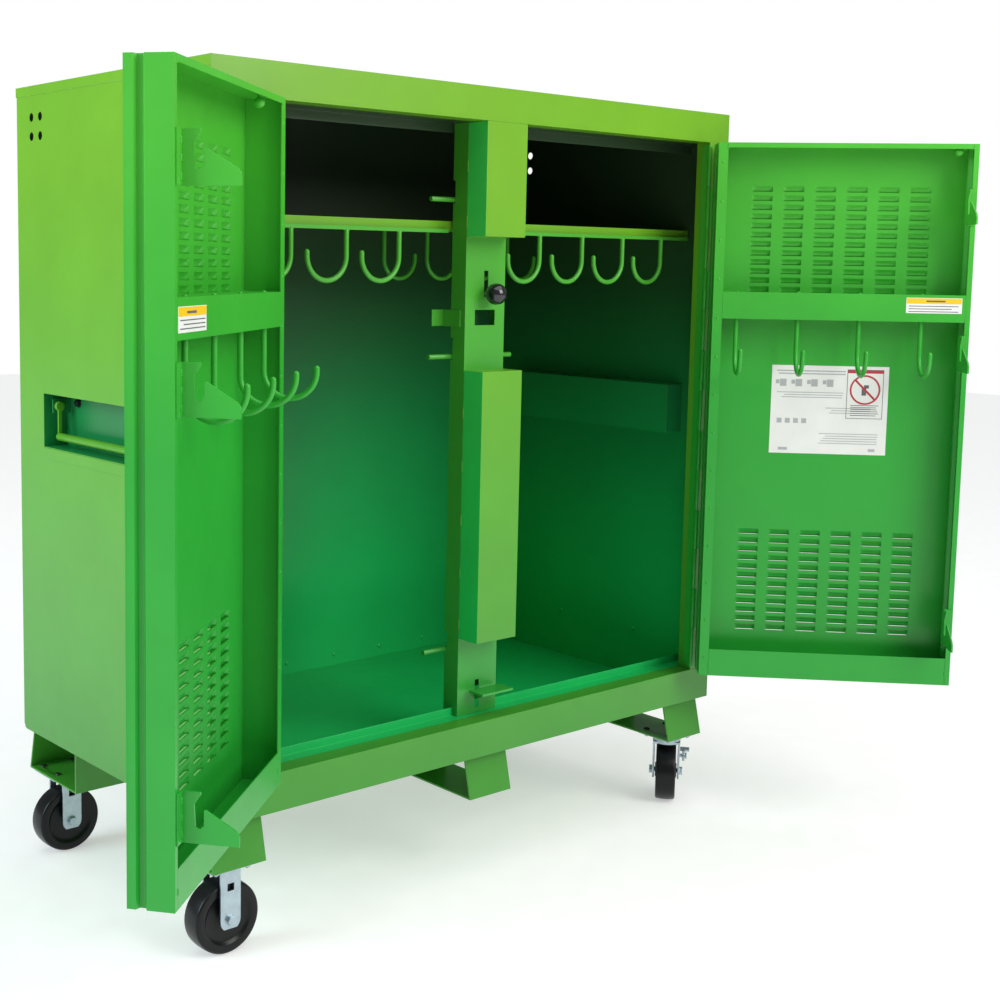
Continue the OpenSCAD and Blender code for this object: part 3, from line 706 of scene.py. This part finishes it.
def hinge_screws(side):
    """Small domed heads along the hinge flange of a door."""
    parts = []
    count = 14
    for i in range(count):
        z = DOOR_Z0 + (i + 0.5) * (DOOR_Z1 - DOOR_Z0) / count
        parts.append(rivet((24 * MM, DOOR_T, z), (0, 1, 0), 3.2 * MM, 1.4 * MM))
    return obj_from(f"{side}_hinge_screws", *merged(parts), PAINT_DOOR_SHADE, 60, PLACE[side])


def door_welds(side):
    """Beads at the corners of the pan, along the latch brackets and at the channel's ends."""
    wall = DOOR_T - DOOR_SHEET
    parts = []
    corner_u = (35 * MM, 607 * MM)
    bracket_z = (1506 * MM, 1159 * MM, 490 * MM)
    bracket_u, bracket_n = 598 * MM, 83 * MM
    channel_u = (15.5 * MM, 608 * MM)
    for z in (DOOR_Z1 - 9 * MM, DOOR_Z0 + 30 * MM):
        for u in corner_u:
            parts.append(weld((u, DOOR_T, z - 6 * MM), (u, DOOR_T, z + 6 * MM), 1.5 * MM))
    for z in bracket_z:
        for k in range(3):
            low = z + (8 + 27 * k) * MM
            parts.append(weld((bracket_u, bracket_n, low), (bracket_u, bracket_n, low + 12 * MM),
                              1.8 * MM))
    for u in channel_u:
        parts.append(weld((u, wall + 1 * MM, 1282 * MM), (u, wall + 1 * MM, 1330 * MM), 1.6 * MM))
    return obj_from(f"{side}_door_welds", *merged(parts), PAINT_DOOR_SHADE, 60, PLACE[side])


def build_door(side):
    """Rebuilt skin and hooks, with the CAD's frame, channel, brackets, hinge and label."""
    body = f"{side}_door"
    piece(louvred_skin(side), body, "green_door", f"{side}_door_skin")
    piece(door_hooks(side), body, "green_hooks", f"{side}_door_hooks")
    piece(hinge_screws(side), body, "green_door")
    piece(door_welds(side), body, "green_door")
    dress(f"{side}_door_frame", PAINT_DOOR_SHADE, 1.6 * MM, 3)
    dress(f"{side}_door_channel", PAINT_DOOR_SHADE, 1.5 * MM, 3)
    dress(f"{side}_latch_brackets", PAINT_DOOR_SHADE, 0.8 * MM)
    dress(f"{side}_door_hinge", PAINT_DOOR_SHADE, 0.4 * MM)
    dress(f"{side}_door_label", VINYL)


# ---------------------------------------------------------------- inside of the cabinet

SHELF_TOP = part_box("left_shelf")[1][2]
SHELF_HOOK_Z = 1353 * MM + HOOK_R
SHELF_HOOK_X = [(214 + 143.4 * i) * MM for i in range(4)]
RAIL_X = (75 * MM, 745 * MM)
RAIL_W, RAIL_H = 14 * MM, 8 * MM
FRONT_RAIL_Y, REAR_RAIL_Y = -302 * MM, 144 * MM
FRONT_HOOK_Y, REAR_HOOK_Y = -298 * MM, 151 * MM


def shelf_hooks(side):
    """Rails under the shelf with hooks that all curl one way in each row."""
    sign = -1 if side == "left" else 1
    front_top = SHELF_TOP - 26 * MM
    rear_top = SHELF_TOP - 10 * MM
    centre_z = SHELF_HOOK_Z + BEND_R
    parts = []
    rail_x = sorted(sign * x for x in RAIL_X)
    for y, top in ((FRONT_RAIL_Y, front_top), (REAR_RAIL_Y, rear_top)):
        parts.append(block((rail_x[0], y, top), (rail_x[1], y + RAIL_W, top + RAIL_H)))
    for x in SHELF_HOOK_X:
        front_x = sign * x
        rear_x = sign * x - 2 * BEND_R
        for at, y, top, curl in ((front_x, FRONT_HOOK_Y, front_top, -1),
                                 (rear_x, REAR_HOOK_Y, rear_top, 1)):
            path = bend_path((at, y, top), top - centre_z, (curl, 0, 0), BEND_R, 8 * MM)
            parts.append(tube(path, HOOK_R))
            for dx in (-HOOK_R, HOOK_R):
                parts.append(weld((at + dx, y - 4 * MM, top), (at + dx, y + 4 * MM, top), 1.8 * MM))
    return obj_from(f"{side}_rails_and_hooks", *merged(parts), PAINT_MID_SHADE, 40)


def bolt_row(name, points, axis):
    """Domed heads at several points, all facing one way."""
    heads = merged([rivet(p, axis, 6 * MM, 3 * MM) for p in points])
    piece(obj_from(name, *heads, PAINT_IN_SHADE, 60), "cabinet", "green_body")


def inner_fasteners():
    """Domed heads low on the back panel and up the side panels."""
    back_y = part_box("back_panel")[0][1]
    side_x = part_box("left_side_panel")[1][0]
    xs = [(-640 + 160 * i) * MM for i in range(9)]
    points = [(x, back_y, UNDER_Z + 32 * MM) for x in xs]
    bolt_row("back_panel_heads", points, (0, -1, 0))
    for sign in (-1, 1):
        points = [(sign * abs(side_x), y, 420 * MM) for y in (-150 * MM, 120 * MM)]
        bolt_row(f"side_heads_{'left' if sign < 0 else 'right'}", points, (-sign, 0, 0))


ROOF_OVER = 1.5 * MM
STITCH = 24 * MM
STITCH_R = 1.4 * MM
COVER_PITCH = 120 * MM


def roof_welds():
    """Short stitch welds under the roof lip, and beads where the post covers meet the post."""
    parts = []
    lip_z = TOP_Z - 21 * MM
    for sign in (-1, 1):
        x = sign * (HALF_W - ROOF_OVER)
        for i in range(8):
            y = FRONT_Y + 40 * MM + i * 100 * MM
            parts.append(weld((x, y, lip_z), (x, y + STITCH, lip_z), STITCH_R))
    for i in range(14):
        x = -690 * MM + i * 104 * MM
        y = BACK_Y - ROOF_OVER
        parts.append(weld((x, y, lip_z), (x + STITCH, y, lip_z), STITCH_R))
    for node in ("upper_post_cover", "lower_post_cover"):
        lo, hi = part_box(node)
        count = int((hi[2] - lo[2]) / COVER_PITCH)
        for sign in (-1, 1):
            x = sign * hi[0]
            for i in range(count):
                z = lo[2] + 20 * MM + i * COVER_PITCH
                parts.append(weld((x, hi[1], z), (x, hi[1], z + 26 * MM), 1.8 * MM))
    return obj_from("stitch_welds", *merged(parts), PAINT, 60)


def build_inside():
    """Shelves, their hooks, the back, the floor and the heads inside the body."""
    for side in ("left", "right"):
        piece(shelf_hooks(side), "cabinet", "green_hooks", f"{side}_shelf_hooks")
        # The shelves take the outside's lighter tones, painted light for their lit front lips.
        dress(f"{side}_shelf", PAINT, 0.8 * MM)
    dress("back_panel", PAINT_BODY_INSIDE_SHADE, 0.5 * MM)
    dress("floor_pan", PAINT_BODY_INSIDE_SHADE, 0.5 * MM)
    inner_fasteners()


# ---------------------------------------------------------------- outside of the cabinet

def build_shell():
    """The body's sheets, post, covers, pockets, feet and hinges, all kept from the CAD."""
    for node in ("left_side_panel", "right_side_panel"):
        dress(node, PAINT_BODY_INSIDE_SHADE, 0.5 * MM)
    for node in ("front_header", "front_sill", "left_stile", "right_stile", "roof_pan"):
        dress(node, PAINT_BODY_INSIDE_SHADE, 0.9 * MM, 3)
    dress("centre_post", PAINT_MID_SHADE, 0.9 * MM, 3)
    for node in ("upper_post_cover", "lower_post_cover"):
        dress(node, PAINT_COVER_FACE_LIGHT, 1.5 * MM, 3)
    for node in ("left_handle_pocket", "right_handle_pocket"):
        dress(node, PAINT_BODY_INSIDE_SHADE, 0.8 * MM)
    for node in ("front_left_foot", "front_right_foot", "rear_left_foot", "rear_right_foot",
                 "mid_feet"):
        dress(node, PAINT, 1.8 * MM, 3)
    dress("body_hinges", PAINT_DOOR_SHADE, 0.4 * MM)
    piece(roof_welds(), "cabinet", "green_body")


def handle(side):
    """Thick straight grip on two thin flat arms, with eyes and pivot pins."""
    sign = -1 if side == "left" else 1
    lo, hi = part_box(f"{side}_handle")
    grip_r = 9 * MM
    grip_z = lo[2] + grip_r
    pivot_z = 1066 * MM
    x = sign * 735 * MM
    mid = (lo[1] + hi[1]) / 2
    arm = 260 * MM
    arm_t, arm_w = 3 * MM, 4 * MM
    eye_r, eye_h, pin_r, pin_end = 11 * MM, 5 * MM, 5 * MM, 16 * MM
    parts = [tube([(x, mid + t * arm, grip_z) for t in (-1, -0.5, 0, 0.5, 1)], grip_r, 28, 3)]
    for end in (-1, 1):
        y = sorted((mid + end * (arm - arm_t), mid + end * (arm + arm_t)))
        parts.append(block((x - arm_w, y[0], grip_z), (x + arm_w, y[1], pivot_z)))
    for s in (-1, 1):
        eye = lathe([(5.1 * MM, -eye_h), (10 * MM, -eye_h), (eye_r, -4 * MM), (eye_r, 4 * MM),
                     (10 * MM, eye_h), (5.1 * MM, eye_h), (5.1 * MM, -eye_h)], 36)
        parts.append(moved(eye, aim((x, mid + s * arm, pivot_z), (0, 1, 0))))
        pin = lathe([(0, -6 * MM), (pin_r, -6 * MM), (pin_r, 15 * MM), (4 * MM, pin_end),
                     (0, pin_end)], 28)
        parts.append(moved(pin, aim((x, mid + s * arm, pivot_z), (0, s, 0))))
    obj = obj_from(f"{side}_bail_handle", *merged(parts), PAINT, 50)
    piece(obj, f"{side}_bail", "green_handle", f"{side}_handle")
    bolts = merged([hex_bolt((sign * 702 * MM, mid + s * 232 * MM, 1074 * MM), (sign, 0, 0),
                             8 * MM, 11 * MM) for s in (-1, 1)])
    bolt_obj = obj_from(f"{side}_pocket_bolts", *bolts, DARK_STEEL, 30)
    piece(bolt_obj, "cabinet", "zinc_caster")


# ---------------------------------------------------------------- latch

def build_latch():
    """Bar, pins, stem and pedal from the CAD, with a smooth ball on the stem."""
    dress("latch_bar", PAINT_IN_SHADE, 0.6 * MM)
    dress("latch_pins", PAINT_MID_SHADE, 0.9 * MM)
    dress("knob_stem", STEEL, 0.4 * MM)
    dress("foot_pedal", PAINT_MID_SHADE, 0.9 * MM)
    lo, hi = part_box("ball_knob")
    r = (hi[0] - lo[0]) / 2
    centre = [(a + b) / 2 for a, b in zip(lo, hi)]
    profile = [(5.1 * MM, -r * 0.6), (5.1 * MM, -r * 0.93), (9 * MM, -r * 0.93)]
    profile += [(r * math.cos(a), r * math.sin(a))
                for a in (math.radians(-66 + 156 * i / 26) for i in range(26))]
    profile.append((0, r))
    ball = moved(lathe(profile, 64), aim(centre, (0, -1, 0)))
    piece(obj_from("ball_grip", *ball, KNOB, 40), "latch", "knob", "ball_knob")


# ---------------------------------------------------------------- casters

WHEELS = ("front_left", "rear_left", "front_right", "rear_right")


def wheel(name):
    """Phenolic wheel: crowned tread, rounded shoulders, dished web, raised hub, bearing sleeve."""
    joint = JOINTS[f"{name}_wheel_spin"]
    r = 76 * MM
    half = 25.5 * MM
    hub = 27.9 * MM
    bore_r, hub_r = 6.05 * MM, 11 * MM

    def face(sign):
        shape = [(hub_r, hub), (17.5 * MM, hub), (19.5 * MM, 26.5 * MM),
                 (21 * MM, 21.5 * MM), (24 * MM, 19.5 * MM), (48 * MM, 19 * MM), (52 * MM, 20.5 * MM),
                 (55 * MM, 24.6 * MM), (57 * MM, half)]
        return [(a, sign * h) for a, h in shape]

    shoulder = 6 * MM
    drop = 1.2 * MM
    edge = [(r - drop - shoulder + shoulder * math.sin(a), half - shoulder + shoulder * math.cos(a))
            for a in (math.radians(90 * i / 6) for i in range(7))]
    crown = [(r - drop * (h / 19.5) ** 2, h * MM) for h in (15, 10, 5, 0, -5, -10, -15)]
    lower = [(a, -h) for a, h in reversed(edge)]
    profile = face(1) + edge + crown + lower + list(reversed(face(-1)))
    at_axle = aim(joint["pos_m"], joint["axis"])
    obj = obj_from(f"{name}_phenolic_wheel", *moved(lathe(profile, 96), at_axle), WHEEL, 38)
    piece(obj, f"{name}_wheel", "wheel", f"{name}_wheel")
    sleeve = lathe([(bore_r, -hub), (hub_r, -hub), (hub_r, hub), (bore_r, hub), (bore_r, -hub)], 40)
    sleeve_obj = obj_from(f"{name}_bearing_sleeve", *moved(sleeve, at_axle), ZINC, 38)
    piece(sleeve_obj, f"{name}_wheel", "wheel")


def caster_bolts():
    """Low dark heads on top of each foot plate, with bright nuts under the caster plate."""
    plate_z = 186 * MM
    foot_z = 197 * MM
    heads, nuts = [], []
    dome = [(8 * MM, 0), (8 * MM, 1 * MM), (6.6 * MM, 3.2 * MM), (3.6 * MM, 4.4 * MM), (0, 4.8 * MM)]
    caster_x, caster_y, bolt_off = 690 * MM, 338 * MM, 37 * MM
    for cx in (-caster_x, caster_x):
        for cy in (-caster_y, caster_y):
            for dx in (-bolt_off, bolt_off):
                for dy in (-bolt_off, bolt_off):
                    heads.append(moved(lathe(dome, 24), aim((cx + dx, cy + dy, foot_z), (0, 0, 1))))
                    nuts.append(hex_bolt((cx + dx, cy + dy, plate_z), (0, 0, -1), 5 * MM, 9 * MM))
    obj = obj_from("caster_bolt_heads", *merged(heads), DARK_STEEL, 40)
    piece(obj, "cabinet", "zinc_caster", "caster_bolts")
    piece(obj_from("caster_bolt_nuts", *merged(nuts), ZINC, 30), "cabinet", "zinc_caster")


def build_casters():
    """Forks, plates and brakes from the CAD, with rebuilt wheels and plate bolts."""
    dress("rigid_forks", ZINC, 1.0 * MM, 3)
    dress("swivel_plates", ZINC, 0.8 * MM)
    for node in ("front_swivel_fork", "rear_swivel_fork"):
        dress(node, ZINC, 1.0 * MM, 3)
    for node in ("front_brake_lever", "rear_brake_lever"):
        dress(node, ZINC, 0.8 * MM)
    caster_bolts()
    for name in WHEELS:
        wheel(name)


# ---------------------------------------------------------------- stage

def build_stage():
    """Pale floor, white surroundings, two large soft lamps and a broad overhead light."""
    reach = 14
    verts = [(-reach, -reach, 0), (reach, -reach, 0), (reach, reach, 0), (-reach, reach, 0)]
    white = moulded("floor_white", (0.6, 0.6, 0.6), 0.8)
    shader = white.node_tree.nodes["Principled BSDF"]
    shader.inputs["Emission Color"].default_value = (1, 1, 1, 1)
    shader.inputs["Emission Strength"].default_value = 0.45
    obj_from("studio_floor", verts, [(0, 1, 2, 3)], white)
    world = bpy.data.worlds.new("studio")
    world.use_nodes = True
    tree = world.node_tree
    backdrop = tree.nodes["Background"]
    backdrop.inputs["Color"].default_value = (1, 1, 1, 1)
    backdrop.inputs["Strength"].default_value = 1.0
    ambient = tree.nodes.new("ShaderNodeBackground")
    ambient.inputs["Color"].default_value = (0.95, 1.0, 1.0, 1)
    ambient.inputs["Strength"].default_value = 0.2
    light_path = tree.nodes.new("ShaderNodeLightPath")
    blend = tree.nodes.new("ShaderNodeMixShader")
    tree.links.new(light_path.outputs["Is Camera Ray"], blend.inputs[0])
    tree.links.new(ambient.outputs[0], blend.inputs[1])
    tree.links.new(backdrop.outputs[0], blend.inputs[2])
    tree.links.new(blend.outputs[0], tree.nodes["World Output"].inputs["Surface"])
    bpy.context.scene.world = world
    cool = (0.8, 1.0, 1.05)
    for name, at, target, size, power, tint in (
            ("key", (1.2, -5.2, 3.6), (0, -0.3, 0.9), 3.2, 205, (1.0, 0.99, 0.94)),
            ("left_fill", (-5.6, 1.2, 3.0), (-0.7, 0, 1.1), 3.0, 235, cool)):
        lamp = bpy.data.lights.new(name, "AREA")
        lamp.size = size
        lamp.energy = power
        lamp.color = tint
        obj = bpy.data.objects.new(name, lamp)
        obj.location = at
        obj.rotation_euler = (Vector(target) - Vector(at)).to_track_quat("-Z", "Y").to_euler()
        bpy.context.scene.collection.objects.link(obj)

    overhead = bpy.data.lights.new("overhead", "SUN")
    overhead.angle = math.radians(70)
    overhead.energy = 1.7
    obj = bpy.data.objects.new("overhead", overhead)
    obj.rotation_euler = (math.radians(14), 0, 0)
    bpy.context.scene.collection.objects.link(obj)


def build_camera():
    """Camera at the viewing angle, from azimuth, elevation and roll in degrees."""
    azimuth, elevation, roll = (math.radians(a) for a in (39.583, -6.379, 0.860))
    forward = Vector((math.sin(azimuth) * math.cos(elevation),
                      math.cos(azimuth) * math.cos(elevation), math.sin(elevation)))
    right0 = Vector((math.cos(azimuth), -math.sin(azimuth), 0))
    up0 = right0.cross(forward)
    right = math.cos(roll) * right0 + math.sin(roll) * up0
    up = -math.sin(roll) * right0 + math.cos(roll) * up0
    camera = bpy.data.cameras.new("camera")
    camera.sensor_width = 36
    camera.lens = 53.51
    camera.shift_x = 0.11
    camera.shift_y = -0.0696
    camera.clip_start = 0.05
    obj = bpy.data.objects.new("camera", camera)
    matrix = Matrix((right, up, -forward)).transposed().to_4x4()
    matrix.translation = (-2.2813, -2.7777, 1.3942)
    obj.matrix_world = matrix
    bpy.context.scene.collection.objects.link(obj)
    bpy.context.scene.camera = obj
    bpy.context.scene.view_settings.view_transform = "Standard"


build_camera()
build_stage()
build_shell()
build_inside()
for side in ("left", "right"):
    build_door(side)
    handle(side)
placard("left", 472 * MM, 604 * MM, 1286 * MM, 1326 * MM)
placard("right", 469 * MM, 599 * MM, 1296 * MM, 1333 * MM)
dress("instruction_sheet", VINYL)
instruction_sheet()
build_latch()
build_casters()
